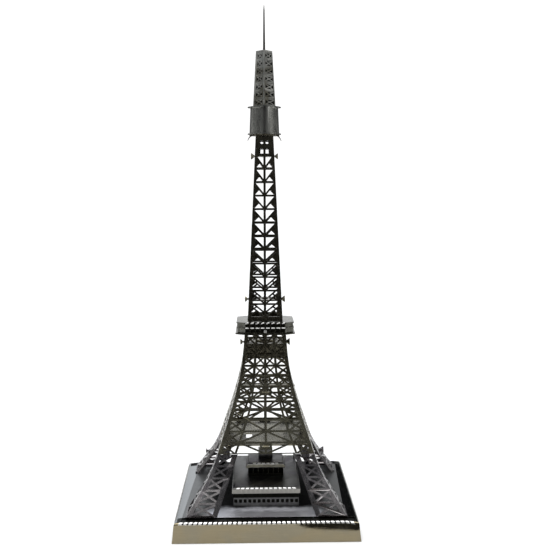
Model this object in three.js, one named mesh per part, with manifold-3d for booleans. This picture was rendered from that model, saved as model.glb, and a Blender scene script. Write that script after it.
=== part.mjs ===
// A souvenir model of a lattice broadcasting tower, folded and tabbed together from thin steel sheet.
// Millimetres, +Z up, the front faces -Y. The origin is the centre of the base's underside.
import * as THREE from "three";
import { mergeVertices } from "three/addons/utils/BufferGeometryUtils.js";
import Module from "manifold-3d";

const wasm = await Module();
wasm.setup();

// Driving dimensions. Every height but BASE_HEIGHT is counted from the top of the base plate.
const SHEET = 0.3; // thickness of the steel sheet
const GAP = 0.03; // clearance between two sheets that touch
const SIDES = ["front", "right", "back", "left"];
const CORNERS = ["front_right", "back_right", "back_left", "front_left"];

const BASE_HALF = 20;
const BASE_HEIGHT = 4.5;
const BASE_FLARE = 0.7; // how much further out the skirt stands at its foot
const FOLD_RADIUS = 0.45;
const HEM_WIDTH = 1.2; // turned-in foot of the skirt

const TAB_WIDTH = 1.6;
const TAB_LENGTH = 0.9;
const TAB_TWIST = THREE.MathUtils.degToRad(55);
const SLOT_PLAY = 0.05; // clearance round a tab in its slot
const TAB_DROP = 1.1; // how far a straight tab reaches down through the base plate
const PATCH = { width: 2.8, height: 1.5 }; // closed patch of lattice round a slot
const PLATE_CLEARANCE = 0.25; // between a plate inside the tower and the panels round it
const PLATE_SLOT = { left: -4.6, right: -3.2, front: -4.4, back: -0.8 }; // in the lowest plate
const RING_HOLE = 0.55; // share of a ring plate that its hole takes

const RAIL = 0.44; // level bars of the lattice
const BRACE = 0.4; // sloping bars
const CHORD = 0.85; // corner bars
const SEAM_CHORD = 1.3; // corner bar that overlaps its neighbour, on the right of each shaft panel
const INNER_CHORD = 0.5;
const LEG_STRIP = 1.1; // plain strip down the inner edge of a leg
const LEG_STRIP_BEND = 0.5; // how far that strip is folded back
const LEAST_OPENING = 0.22; // where a bay would leave less than this, it is closed

const ARCH_HEIGHT = 12.2; // where the four legs meet the body
const BODY_TOP = 38.8;
const LEG_BAYS = 5;
const LEG_FOOT = 0.25; // where the bays of a leg start
const LEG_TAB = { across: 14.7, out: 17.4 };
const TOE_WIDTH = 1.1;
const CORNER_TAB = { height: 5.3, inset: 1 };
const SPLICE = { root: 0.7, length: 1.9 }; // tongue that joins a leg to the body
const BODY_BAYS = 11;

const DECK = { x: 6.5, y: 5.3 }; // half-widths
const DECK_CHAMFER = { x: 1.85, y: 1.1 };
const DECK_LOWER_WALL = 1;
const DECK_UPPER_WALL = 0.8;
const DECK_OVERHANG = { floor: 0.45, ledge: 0.2, roof: 0.2 };

const SHAFT_FOOT = 41.7;
const SHAFT_TOP = 84.7;
const SHAFT_FOOT_HALF = 4.09;
const SHAFT_TOP_HALF = 2.05;
const SHAFT_BAND = 0.9; // plain strip under the lowest bay
const SHAFT_BAY = 3.15;
const SHAFT_BAYS = 12;
const SHAFT_SHORT_BAY = 1.6; // the topmost
const PORTHOLE = { radius: 0.4, across: 0.6, down: 1.5 };

const LOOKOUT_TOP = 91.5;
const LOOKOUT_FOOT_CORNER = 3.48; // from the axis to a corner
const LOOKOUT_TOP_CORNER = 3.22;
const LOOKOUT_BOW = 0.32; // how far the middle of each shell bulges
const LOOKOUT_TOP_LIP = 0.6;
const LOOKOUT_FOOT_LIP = 0.35;
// Bent down at two corners of the lookout's floor.
const LOOKOUT_TAB = { length: 1.6, width: 1.1, reach: 0.45, drop: 1.2 };

const ANTENNA_TOP = 103.85;
const ANTENNA_FOOT_CORNER = 2.62;
const ANTENNA_TOP_CORNER = 1.92;
const MAST_TIP = 114.5;
// Half-widths of the mast, and the lengths of its tail and point.
const MAST = { foot: 0.26, shoulder: 0.75, neck: 0.15, point: 0.05, tail: 1.4, pointLength: 1.2 };

const HALL = { x: 7.8, y: 11.7, height: 4.5 }; // half-widths and height
const UPPER_HALL = { x: 4.5, y: 3.7, height: 3.1 };
const ROOF_HOUSE = { x: 1.7, y: 1.2, height: 2, back: 1.4 };
const FASCIA = 1.3; // roof edge folded down
const WALL_SETBACK = 0.32; // walls stand this far inside the roof edge
const ROOF_TAB = { along: 9.2, width: 1, height: 1.3 }; // side wall's tab that stands up through the roof

const TOWER_STEEL = { color: 0x5b5957, roughness: 0.28, metalness: 1 };
const SATIN_STEEL = { color: 0x7a7876, roughness: 0.38, metalness: 1 };
const BASE_STEEL = { color: 0x9c968a, roughness: 0.2, metalness: 1 };

// A smooth curve through [height, value] points, as a function of height.
function smoothThrough(points) {
  const slopes = points.map((point, i) => {
    const before = points[Math.max(i - 1, 0)];
    const after = points[Math.min(i + 1, points.length - 1)];
    return (after[1] - before[1]) / (after[0] - before[0]);
  });
  return (height) => {
    const found = points.findIndex((point) => point[0] >= height);
    const i = found < 0 ? points.length - 1 : Math.max(found, 1);
    const step = points[i][0] - points[i - 1][0];
    const t = (height - points[i - 1][0]) / step;
    return (
      (1 + 2 * t) * (1 - t) ** 2 * points[i - 1][1] +
      t * (1 - t) ** 2 * step * slopes[i - 1] +
      t * t * (3 - 2 * t) * points[i][1] +
      t * t * (t - 1) * step * slopes[i]
    );
  };
}

// Half the tower's width: splayed feet that straighten into a slim waist under the main deck.
const bodyHalf = smoothThrough([
  [0, 17.9],
  [3.2, 15.8],
  [6.8, 13.4],
  [9.8, 11.9],
  [15.2, 10.05],
  [21.6, 7.95],
  [28.3, 6.15],
  [32.8, 5.35],
  [BODY_TOP, 4.82],
]);

// How far a leg's inner edge, and the body's inner upright above it, stand from the middle of their side.
const innerHalf = smoothThrough([
  [0, 11.6],
  [9.8, 7.9],
  [21.9, 3.65],
  [29.4, 2.6],
  [BODY_TOP, 2],
]);

const shaftHalf = (height) =>
  THREE.MathUtils.mapLinear(height, SHAFT_FOOT, SHAFT_TOP, SHAFT_FOOT_HALF, SHAFT_TOP_HALF);

// Closed geometry to a manifold-3d solid and back.
function solidOf(geometry) {
  const bare = geometry.index ? geometry.toNonIndexed() : geometry.clone();
  bare.deleteAttribute("normal");
  bare.deleteAttribute("uv");
  const merged = mergeVertices(bare, 1e-4);
  return new wasm.Manifold(
    new wasm.Mesh({
      numProp: 3,
      vertProperties: merged.attributes.position.array,
      triVerts: new Uint32Array(merged.index.array),
    }),
  );
}

function geometryOf(solid) {
  const mesh = solid.getMesh();
  return new THREE.BufferGeometry()
    .setAttribute("position", new THREE.BufferAttribute(mesh.vertProperties, 3))
    .setIndex(new THREE.BufferAttribute(mesh.triVerts, 1));
}

const join = (...pieces) => geometryOf(pieces.map(solidOf).reduce((whole, piece) => whole.add(piece)));
const cut = (body, ...tools) =>
  geometryOf(tools.map(solidOf).reduce((rest, tool) => rest.subtract(tool), solidOf(body)));

const extrude = (shape, depth) =>
  new THREE.ExtrudeGeometry(shape, { depth, bevelEnabled: false, curveSegments: 5 });

// A box given by its size and the middle of its underside.
function box(sizeX, sizeY, sizeZ, x, y, z) {
  return new THREE.BoxGeometry(sizeX, sizeY, sizeZ).translate(x, y, z + sizeZ / 2);
}

const turned = (geometry, quarters) => geometry.clone().rotateZ((quarters * Math.PI) / 2);

// One opening between bars. Corners run anticlockwise, and bars[i] is how far the bar that starts at
// corner i reaches into it. The result is one list of points, or none where the bars leave no room.
function opening(corners, bars) {
  const count = corners.length;
  const sides = corners.map((corner, i) => {
    const along = corners[(i + 1) % count].clone().sub(corner).normalize();
    const inward = new THREE.Vector2(-along.y, along.x);
    return { from: corner.clone().addScaledVector(inward, bars[i]), along };
  });
  const points = sides.map((side, i) => {
    const before = sides.at(i - 1);
    const reach = side.from.clone().sub(before.from).cross(side.along) / before.along.cross(side.along);
    return before.from.clone().addScaledVector(before.along, reach);
  });
  const room = points.every(
    (point, i) => points[(i + 1) % count].clone().sub(point).dot(sides[i].along) > LEAST_OPENING,
  );
  return room ? [points] : [];
}

// A four-sided bay crossed by two braces: four openings round the crossing.
function crossedBay([a, b, c, d], bars) {
  const down = c.clone().sub(a);
  const across = d.clone().sub(b);
  const share = b.clone().sub(a).cross(across) / down.cross(across);
  const middle = a.clone().addScaledVector(down, share);
  const corners = [a, b, c, d];
  return corners.flatMap((corner, i) =>
    opening([corner, corners[(i + 1) % 4], middle], [bars[i], BRACE / 2, BRACE / 2]),
  );
}

// A bay with one brace, from its first corner to its third, or from its second to its fourth.
function bracedBay([a, b, c, d], bars, fromFirst) {
  return fromFirst
    ? [
        ...opening([a, b, c], [bars[0], bars[1], BRACE / 2]),
        ...opening([a, c, d], [BRACE / 2, bars[2], bars[3]]),
      ]
    : [
        ...opening([a, b, d], [bars[0], BRACE / 2, bars[3]]),
        ...opening([b, c, d], [bars[1], bars[2], BRACE / 2]),
      ];
}

// A bay of the shaft: a brace from its top outer corner to its bottom inner one, and a short one to
// its middle.
function fanBay([a, b, c, d], bars) {
  const middle = b.clone().add(d).multiplyScalar(0.5);
  return [
    ...opening([b, c, d], [bars[1], bars[2], BRACE / 2]),
    ...opening([a, b, middle], [bars[0], BRACE / 2, BRACE / 2]),
    ...opening([a, middle, d], [BRACE / 2, BRACE / 2, bars[3]]),
  ];
}

const point = (x, y) => new THREE.Vector2(x, y);
const turnedPoint = (p, quarters) => p.clone().rotateAround(point(0, 0), (quarters * Math.PI) / 2);
const mirrored = (points) => points.map((p) => point(-p.x, p.y)).reverse();
const rectangle = (x, y) => new THREE.Shape([point(-x, -y), point(x, -y), point(x, y), point(-x, y)]);
const levels = (from, to, bays) =>
  Array.from({ length: bays + 1 }, (_, i) => THREE.MathUtils.lerp(from, to, i / bays));

// A flat lattice sheet, drawn as across, height and depth. Its outline follows two edges up its levels.
function latticeSheet(rightEdge, leftEdge, heights, openings) {
  const right = heights.map((height) => point(rightEdge(height), height));
  const left = heights.map((height) => point(leftEdge(height), height)).reverse();
  const sheet = extrude(new THREE.Shape([...right, ...left]), SHEET);
  const punch = (points) => extrude(new THREE.Shape(points), 3 * SHEET).translate(0, 0, -SHEET);
  return cut(sheet, ...openings.map(punch));
}

// How much a sheet on the tower's slope rises out of the vertical, and how long it is for its height.
function slopeAt(halfWidth, height) {
  const reach = 0.01;
  const slope = (halfWidth(height + reach) - halfWidth(height - reach)) / (2 * reach);
  return { slope, stretch: Math.hypot(1, slope) };
}

// Lays a flat sheet on the front of a tower that has the given half-width. Depth SHEET is its outer face.
function layOnFront(geometry, halfWidth) {
  const laid = geometry.clone();
  const position = laid.getAttribute("position");
  for (let i = 0; i < position.count; i++) {
    const height = position.getY(i);
    const inward = SHEET - position.getZ(i);
    const { slope, stretch } = slopeAt(halfWidth, height);
    position.setXYZ(
      i,
      position.getX(i),
      -halfWidth(height) + inward / stretch,
      height + (inward * slope) / stretch,
    );
  }
  return laid;
}

// The right and left panels stand between the front and back ones.
function insetFor(side, halfWidth, height) {
  return side % 2 ? SHEET * slopeAt(halfWidth, height).stretch + GAP : 0;
}

// A tab that reaches out along +X. Its end is twisted so that it can't pull back out of its slot.
function twistedTab(from, slotEnd, length, height, twist) {
  const tab = new THREE.BoxGeometry(slotEnd + length - from, TAB_WIDTH, SHEET, 6, 1, 1);
  tab.translate((slotEnd + length + from) / 2, 0, 0);
  const position = tab.getAttribute("position");
  for (let i = 0; i < position.count; i++) {
    const turn = twist * THREE.MathUtils.smoothstep(position.getX(i), slotEnd, slotEnd + length);
    const [y, z] = [position.getY(i), position.getZ(i)];
    position.setY(i, y * Math.cos(turn) - z * Math.sin(turn));
    position.setZ(i, y * Math.sin(turn) + z * Math.cos(turn));
  }
  return tab.translate(0, 0, height);
}

// The stiffening plates inside the tower. Their tabs pass out through slots in the panels of the sides
// listed.
const ALL_SIDES = [0, 1, 2, 3];
const TWISTED = { sides: [1, 3], length: TAB_LENGTH, twist: TAB_TWIST };
const PLAIN = { sides: ALL_SIDES, length: 0.25, twist: 0 };
const FOLDED = { ...TWISTED, flange: 3.3 }; // its front and back edges are folded down
const diaphragms = [
  { name: "body_lower_diaphragm", halfWidth: bodyHalf, height: 13.9, plate: slottedPlate, ...PLAIN },
  { name: "body_middle_diaphragm", halfWidth: bodyHalf, height: 25.6, plate: crossPlate, ...PLAIN },
  { name: "body_upper_diaphragm", halfWidth: bodyHalf, height: 36.2, plate: ringPlate, ...FOLDED },
  { name: "shaft_lower_diaphragm", halfWidth: shaftHalf, height: 46.5, plate: ringPlate, ...TWISTED },
  { name: "shaft_upper_diaphragm", halfWidth: shaftHalf, height: 80.1, plate: ringPlate, ...TWISTED },
];

function ringPlate(half) {
  const plate = rectangle(half, half);
  plate.holes = [new THREE.Path().absarc(0, 0, half * RING_HOLE, 0, 2 * Math.PI)];
  return plate;
}

function slottedPlate(half) {
  const plate = rectangle(half, half);
  const { left, right, front, back } = PLATE_SLOT;
  plate.holes = [
    new THREE.Path([point(left, front), point(right, front), point(right, back), point(left, back)]),
  ];
  return plate;
}

function crossPlate(half) {
  const arm = TAB_WIDTH / 2;
  const corner = [point(arm, -half), point(arm, -arm), point(half, -arm)];
  return new THREE.Shape(ALL_SIDES.flatMap((side) => corner.map((p) => turnedPoint(p, side))));
}

function diaphragm({ halfWidth, height, plate, sides, length, twist, flange = 0 }) {
  const outer = halfWidth(height);
  const half = outer - SHEET - PLATE_CLEARANCE;
  const sheet = extrude(plate(half), SHEET).translate(0, 0, height - SHEET / 2);
  const tab = twistedTab(half - 0.3, outer, length, height, twist);
  const tabs = sides.map((side) => turned(tab, side - 1));
  if (!flange) return join(sheet, ...tabs);
  const fold = box(2 * half, SHEET, flange, 0, SHEET / 2 - half, height + SHEET / 2 - flange);
  return join(sheet, ...tabs, fold, turned(fold, 2));
}

// The solid patch round each tab's slot, and the slot itself, on the panel of one side.
function tabPatches(side, halfWidth) {
  return diaphragms
    .filter((d) => d.halfWidth === halfWidth && d.sides.includes(side))
    .map((d) => new THREE.BoxGeometry(PATCH.width, PATCH.height, SHEET).translate(0, d.height, SHEET / 2));
}

function tabSlots(side, halfWidth) {
  return diaphragms
    .filter((d) => d.halfWidth === halfWidth && d.sides.includes(side))
    .map((d) =>
      box(
        TAB_WIDTH + 2 * SLOT_PLAY,
        4 * SHEET,
        SHEET + 2 * SLOT_PLAY,
        0,
        -halfWidth(d.height),
        d.height - SHEET / 2 - SLOT_PLAY,
      ),
    );
}

// Straight tabs that stand on the top edge of a panel or hang from its foot, and the slots that take them.
const uprightTab = (x, y, from, to) => box(TAB_WIDTH, SHEET, to - from, x, y, from);
const uprightSlot = (x, y, from, to) =>
  box(TAB_WIDTH + 2 * SLOT_PLAY, SHEET + 2 * SLOT_PLAY, to - from, x, y, from);

const legLevels = levels(LEG_FOOT, ARCH_HEIGHT - GAP, LEG_BAYS);
const bodyLevels = levels(ARCH_HEIGHT + GAP, BODY_TOP, BODY_BAYS);

// One strip of a leg, to the right of the middle of its side: braced between the corner bar and the
// plain strip.
function legStrip(mirror) {
  const openings = legLevels.slice(1).flatMap((top, i) => {
    const foot = legLevels[i];
    const bay = [
      point(innerHalf(foot), foot),
      point(bodyHalf(foot), foot),
      point(bodyHalf(top), top),
      point(innerHalf(top), top),
    ];
    return crossedBay(bay, [RAIL / 2, CHORD, RAIL / 2, LEG_STRIP / 2]);
  });
  const innerEdge = (height) => innerHalf(height) - LEG_STRIP / 2;
  const sheet = mirror
    ? latticeSheet((h) => -innerEdge(h), (h) => -bodyHalf(h), legLevels, openings.map(mirrored))
    : latticeSheet(bodyHalf, innerEdge, legLevels, openings);
  const flat = sheet.getAttribute("position");
  for (let i = 0; i < flat.count; i++) {
    const fromEdge = Math.abs(flat.getX(i)) - innerEdge(flat.getY(i));
    if (fromEdge < 0.01) flat.setZ(i, flat.getZ(i) - LEG_STRIP_BEND);
  }
  const strip = layOnFront(sheet, bodyHalf);
  const position = strip.getAttribute("position");
  for (let i = 0; i < position.count; i++) position.setZ(i, Math.max(position.getZ(i), GAP));
  return strip;
}

// A tongue at the top of a leg strip that lies behind the foot of the body panel above.
function spliceTongue(mirror) {
  const middle = ((innerHalf(ARCH_HEIGHT) + bodyHalf(ARCH_HEIGHT)) / 2) * (mirror ? -1 : 1);
  const rootMiddle = ARCH_HEIGHT - GAP - SPLICE.root / 2;
  const root = new THREE.BoxGeometry(TAB_WIDTH, SPLICE.root, 2 * SHEET + GAP);
  const tongue = new THREE.BoxGeometry(TAB_WIDTH, SPLICE.length, SHEET);
  root.translate(middle, rootMiddle, -GAP / 2);
  tongue.translate(middle, rootMiddle + (SPLICE.length - SPLICE.root) / 2, -SHEET / 2 - GAP);
  return layOnFront(join(root, tongue), bodyHalf);
}

// An L-shaped foot flange, flat on the base plate.
function toe() {
  const outer = bodyHalf(0);
  const inner = innerHalf(0);
  const shape = new THREE.Shape([
    point(inner, -outer),
    point(outer, -outer),
    point(outer, -inner),
    point(outer - TOE_WIDTH, -inner),
    point(outer - TOE_WIDTH, TOE_WIDTH - outer),
    point(inner, TOE_WIDTH - outer),
  ]);
  return extrude(shape, SHEET).translate(0, 0, GAP);
}

// A twisted tab that stands out of a leg's right side, next to its corner or, with mirror, out of its front.
function cornerTab(mirror) {
  const outer = bodyHalf(CORNER_TAB.height);
  const across = CORNER_TAB.inset - outer;
  const tab = twistedTab(outer - 2 * SHEET, outer, TAB_LENGTH, CORNER_TAB.height, TAB_TWIST);
  return mirror ? turned(tab.translate(0, -across, 0), -1) : tab.translate(0, across, 0);
}

// A leg is one sheet folded along the tower's corner, with two tabs through the base plate. The back legs
// have one more, on the side that faces right or left.
function leg(corner) {
  const tab = (across) => uprightTab(across, -LEG_TAB.out, -TAB_DROP, LEG_FOOT);
  const side = { back_right: [cornerTab(true)], back_left: [cornerTab(false)] };
  return join(
    legStrip(false),
    turned(legStrip(true), 1),
    spliceTongue(false),
    turned(spliceTongue(true), 1),
    toe(),
    tab(LEG_TAB.across),
    turned(tab(-LEG_TAB.across), 1),
    ...(side[corner] ?? []),
  );
}

// A side of the body: crossed bays at both edges, and single braces that zigzag to the upright in the
// middle.
function bodyPanel(side) {
  const openings = bodyLevels.slice(1).flatMap((top, i) => {
    const foot = bodyLevels[i];
    const edgeBay = [
      point(innerHalf(foot), foot),
      point(bodyHalf(foot), foot),
      point(bodyHalf(top), top),
      point(innerHalf(top), top),
    ];
    const middleBay = [
      point(0, foot),
      point(innerHalf(foot), foot),
      point(innerHalf(top), top),
      point(0, top),
    ];
    const half = [
      ...crossedBay(edgeBay, [RAIL / 2, CHORD, RAIL / 2, INNER_CHORD / 2]),
      ...bracedBay(middleBay, [RAIL / 2, INNER_CHORD / 2, RAIL / 2, INNER_CHORD / 2], i % 2 === 0),
    ];
    return [...half, ...half.map(mirrored)];
  });
  const edge = (height) => bodyHalf(height) - insetFor(side, bodyHalf, height);
  const sheet = latticeSheet(edge, (h) => -edge(h), bodyLevels, openings);
  const panel = layOnFront(join(sheet, ...tabPatches(side, bodyHalf)), bodyHalf);
  const tab = uprightTab(0, -bodyHalf(BODY_TOP) + SHEET / 2, BODY_TOP - SHEET, BODY_TOP + 3 * SHEET);
  return cut(join(panel, tab), ...tabSlots(side, bodyHalf));
}

// A side of the shaft: a straight taper with fan-braced bays, closed at the top but for two round holes.
function shaftPanel(side) {
  const firstRail = SHAFT_FOOT + SHAFT_BAND;
  const heights = levels(firstRail, firstRail + SHAFT_BAY * SHAFT_BAYS, SHAFT_BAYS);
  const bay = (foot, top) => [
    point(-shaftHalf(foot), foot),
    point(0, foot),
    point(0, top),
    point(-shaftHalf(top), top),
  ];
  const half = (chord) => {
    const bars = [RAIL / 2, INNER_CHORD / 2, RAIL / 2, chord];
    const shortBay = bay(heights.at(-1), heights.at(-1) + SHAFT_SHORT_BAY);
    const fans = heights.slice(1).flatMap((top, i) => fanBay(bay(heights[i], top), bars));
    return [...fans, ...opening(shortBay, bars)];
  };
  const porthole = (across) =>
    new THREE.Path()
      .absarc(across, SHAFT_TOP - PORTHOLE.down, PORTHOLE.radius, 0, 2 * Math.PI)
      .getPoints(4)
      .slice(1);
  const openings = [
    ...half(CHORD),
    ...half(SEAM_CHORD).map(mirrored),
    porthole(-PORTHOLE.across),
    porthole(PORTHOLE.across),
  ];
  const edge = (height) => shaftHalf(height) - insetFor(side, shaftHalf, height);
  const sheet = latticeSheet(edge, (h) => -edge(h), [SHAFT_FOOT + GAP, SHAFT_TOP], openings);
  const panel = layOnFront(join(sheet, ...tabPatches(side, shaftHalf)), shaftHalf);
  const tab = uprightTab(0, -SHAFT_FOOT_HALF + SHEET / 2, SHAFT_FOOT - 3 * SHEET, SHAFT_FOOT + SHEET);
  return cut(join(panel, tab), ...tabSlots(side, shaftHalf));
}

// Turns a closed section, drawn as distance from the axis to a flat side and height, into a tray with
// four sides.
function squareTurned(section) {
  const corners = section.map((p) => point(p.x * Math.SQRT2, p.y));
  return new THREE.LatheGeometry(corners, 4, Math.PI / 4).rotateX(Math.PI / 2);
}

// The base: a square plate whose four sides are folded down into a flared skirt with a turned-in hem.
function baseTray() {
  const fold = (radius) =>
    new THREE.Path()
      .absarc(BASE_HALF - FOLD_RADIUS, -FOLD_RADIUS, radius, 0, Math.PI / 2)
      .getPoints(4);
  const foot = BASE_HALF + BASE_FLARE;
  const section = [
    point(0, -SHEET),
    ...fold(FOLD_RADIUS - SHEET).reverse(),
    point(foot - SHEET, -BASE_HEIGHT + SHEET),
    point(foot - HEM_WIDTH, -BASE_HEIGHT + SHEET),
    point(foot - HEM_WIDTH, -BASE_HEIGHT),
    point(foot, -BASE_HEIGHT),
    ...fold(FOLD_RADIUS),
    point(0, 0),
  ];
  const slots = [LEG_TAB.across, -LEG_TAB.across].map((x) => uprightSlot(x, -LEG_TAB.out, -1, 1));
  const hallSlot = uprightSlot(0, WALL_SETBACK + SHEET / 2 - HALL.x, -1, 1);
  return cut(
    squareTurned(section),
    ...ALL_SIDES.flatMap((side) => slots.map((slot) => turned(slot, side))),
    turned(hallSlot, 1),
    turned(hallSlot, 3),
  );
}

// A folded strip of wall, open above and below.
function walls(x, y, height) {
  const shape = rectangle(x, y);
  shape.holes = [rectangle(x - SHEET, y - SHEET)];
  return extrude(shape, height);
}

// Tabs on the hall's side walls: one near the front on the left, and one opposite.
function roofTabs(play, from, to) {
  const wall = HALL.x - WALL_SETBACK - SHEET / 2;
  const tab = box(SHEET + 2 * play, ROOF_TAB.width + 2 * play, to - from, -wall, -ROOF_TAB.along, from);
  return [tab, turned(tab, 2)];
}

function hallWalls() {
  const height = HALL.height - SHEET - 2 * GAP;
  const foot = uprightTab(0, WALL_SETBACK + SHEET / 2 - HALL.x, -TAB_DROP, SHEET);
  return join(
    walls(HALL.x - WALL_SETBACK, HALL.y - WALL_SETBACK, height).translate(0, 0, GAP),
    turned(foot, 1),
    turned(foot, 3),
    ...roofTabs(0, height - SHEET, HALL.height + ROOF_TAB.height),
  );
}

// The hall's roof has its edges folded down, and slots for the tabs of the walls.
function hallRoof() {
  const block = extrude(rectangle(HALL.x, HALL.y), FASCIA).translate(0, 0, HALL.height - FASCIA);
  const inside = extrude(rectangle(HALL.x - SHEET, HALL.y - SHEET), FASCIA);
  inside.translate(0, 0, HALL.height - FASCIA - SHEET);
  return cut(block, inside, ...roofTabs(SLOT_PLAY, HALL.height - FASCIA, HALL.height + SHEET));
}

// A rectangle with its corners cut off, as every level of the main deck is.
function deckShape(overhang) {
  const x = DECK.x + overhang;
  const y = DECK.y + overhang;
  const corner = [point(x - DECK_CHAMFER.x, -y), point(x, DECK_CHAMFER.y - y)];
  const half = [...corner, ...corner.map((p) => point(p.x, -p.y)).reverse()];
  return new THREE.Shape([...half, ...mirrored(half)]);
}

function deckWalls(height) {
  const shape = deckShape(0);
  shape.holes = [deckShape(-SHEET)];
  return extrude(shape, height);
}

// A level plate of the main deck, with slots for the tabs of the four panels that end at it.
function deckPlate(overhang, panelDistance) {
  const plate = extrude(deckShape(overhang), SHEET);
  const slot = uprightSlot(0, SHEET / 2 - panelDistance, -1, 1);
  return cut(plate, ...ALL_SIDES.map((side) => turned(slot, side)));
}

// The section of a lookout shell: a bowed strip from one corner of a square to the next, cut along its
// mitres.
// outward moves its outer face out from the wall's, as a lip needs.
function shellShape(corner, outward, thickness) {
  const chord = corner / Math.SQRT2;
  const radius = (chord ** 2 + LOOKOUT_BOW ** 2) / (2 * LOOKOUT_BOW);
  const centre = chord + LOOKOUT_BOW - radius;
  const mitreAngle = (r) => {
    const distance = centre + GAP;
    const along = (distance + Math.sqrt(2 * r * r - distance * distance)) / 2;
    return Math.asin((along - GAP) / r);
  };
  const outer = radius + outward;
  const inner = outer - thickness;
  const shape = new THREE.Shape();
  shape.absarc(centre, 0, outer, -mitreAngle(outer), mitreAngle(outer), false);
  shape.absarc(centre, 0, inner, mitreAngle(inner), -mitreAngle(inner), true);
  return shape;
}

// One of the lookout's four shells: a bowed wall with a lip folded out at its top and foot.
function lookoutShell() {
  const foot = SHAFT_TOP + SHEET + 2 * GAP;
  const height = LOOKOUT_TOP - foot;
  const lip = (outward, z) =>
    extrude(shellShape(LOOKOUT_FOOT_CORNER, outward, outward + SHEET), SHEET).translate(0, 0, z);
  const shell = join(
    extrude(shellShape(LOOKOUT_FOOT_CORNER, 0, SHEET), height),
    lip(LOOKOUT_FOOT_LIP, 0),
    lip(LOOKOUT_TOP_LIP, height - SHEET),
  );
  const position = shell.getAttribute("position");
  for (let i = 0; i < position.count; i++) {
    const taper = LOOKOUT_TOP_CORNER / LOOKOUT_FOOT_CORNER;
    const scale = THREE.MathUtils.lerp(1, taper, position.getZ(i) / height);
    position.setXY(i, position.getX(i) * scale, position.getY(i) * scale);
  }
  return shell.translate(0, 0, foot);
}

// The plate under the lookout, with a tab at its right and left corners that is bent down.
function lookoutFloor() {
  const plate = extrude(diamond(LOOKOUT_FOOT_CORNER), SHEET);
  const { length, width, reach, drop } = LOOKOUT_TAB;
  const tip = LOOKOUT_FOOT_CORNER + reach;
  const bendStart = tip - (2 * length) / 3;
  const bent = new THREE.BoxGeometry(length, width, SHEET, 5, 1, 1);
  bent.translate(tip - length / 2, 0, SHEET / 2);
  const position = bent.getAttribute("position");
  for (let i = 0; i < position.count; i++) {
    const along = Math.max(position.getX(i) - bendStart, 0) / (tip - bendStart);
    position.setZ(i, position.getZ(i) - drop * along ** 2);
  }
  return join(plate, bent, turned(bent, 2));
}

// A square plate that stands on its corner, as seen from the front.
const diamond = (corner) => new THREE.Shape(ALL_SIDES.map((side) => turnedPoint(point(corner, 0), side)));

// A side of the antenna frame: a tapered sheet, laid like the shaft's panels and then turned by half a
// right angle.
function antennaPanel(side) {
  const foot = LOOKOUT_TOP + GAP;
  const corner = (height) =>
    THREE.MathUtils.mapLinear(height, foot, ANTENNA_TOP, ANTENNA_FOOT_CORNER, ANTENNA_TOP_CORNER);
  const half = (height) => corner(height) / Math.SQRT2;
  const edge = (height) => half(height) - insetFor(side, half, height);
  return layOnFront(latticeSheet(edge, (h) => -edge(h), [foot, ANTENNA_TOP], []), half);
}

// The mast: a pointed strip with shoulders that sit under the cap.
function mast() {
  const shoulder = ANTENNA_TOP - GAP;
  const side = [
    point(MAST.shoulder, shoulder - MAST.tail),
    point(MAST.shoulder, shoulder),
    point(MAST.foot, shoulder),
    point(MAST.neck, MAST_TIP - MAST.pointLength),
    point(MAST.point, MAST_TIP),
  ];
  const shape = new THREE.Shape([...side, ...mirrored(side)]);
  return extrude(shape, SHEET).rotateX(Math.PI / 2).translate(0, SHEET / 2, 0);
}

// A square cap with a slot for the mast.
function antennaCap() {
  const plate = extrude(diamond(ANTENNA_TOP_CORNER), SHEET);
  return cut(plate, box(2 * (MAST.foot + SLOT_PLAY), SHEET + 2 * SLOT_PLAY, 3 * SHEET, 0, 0, -SHEET));
}

const tower = new THREE.Group();
tower.position.z = BASE_HEIGHT;

function add(name, geometry, look, height = 0) {
  const mesh = new THREE.Mesh(geometry, new THREE.MeshStandardMaterial(look));
  mesh.name = name;
  mesh.position.z = height;
  tower.add(mesh);
}

add("base_tray", baseTray(), BASE_STEEL);
add("hall_walls", hallWalls(), TOWER_STEEL);
add("hall_roof", hallRoof(), TOWER_STEEL);

const upperRoof = HALL.height + UPPER_HALL.height;
const upperWall = walls(UPPER_HALL.x - SHEET, UPPER_HALL.y - SHEET, UPPER_HALL.height - SHEET - 2 * GAP);
const roofHouse = box(2 * ROOF_HOUSE.x, 2 * ROOF_HOUSE.y, ROOF_HOUSE.height, 0, ROOF_HOUSE.back, 0);
add("upper_hall_walls", upperWall, TOWER_STEEL, HALL.height + GAP);
const upperPlate = extrude(rectangle(UPPER_HALL.x, UPPER_HALL.y), SHEET);
add("upper_hall_roof", upperPlate, TOWER_STEEL, upperRoof - SHEET);
add("roof_house", roofHouse, TOWER_STEEL, upperRoof + GAP);

CORNERS.forEach((corner, i) => add("leg_" + corner, turned(leg(corner), i), TOWER_STEEL));
SIDES.forEach((side, i) => add("body_panel_" + side, turned(bodyPanel(i), i), TOWER_STEEL));
diaphragms.forEach((d) => add(d.name, diaphragm(d), TOWER_STEEL));

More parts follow.
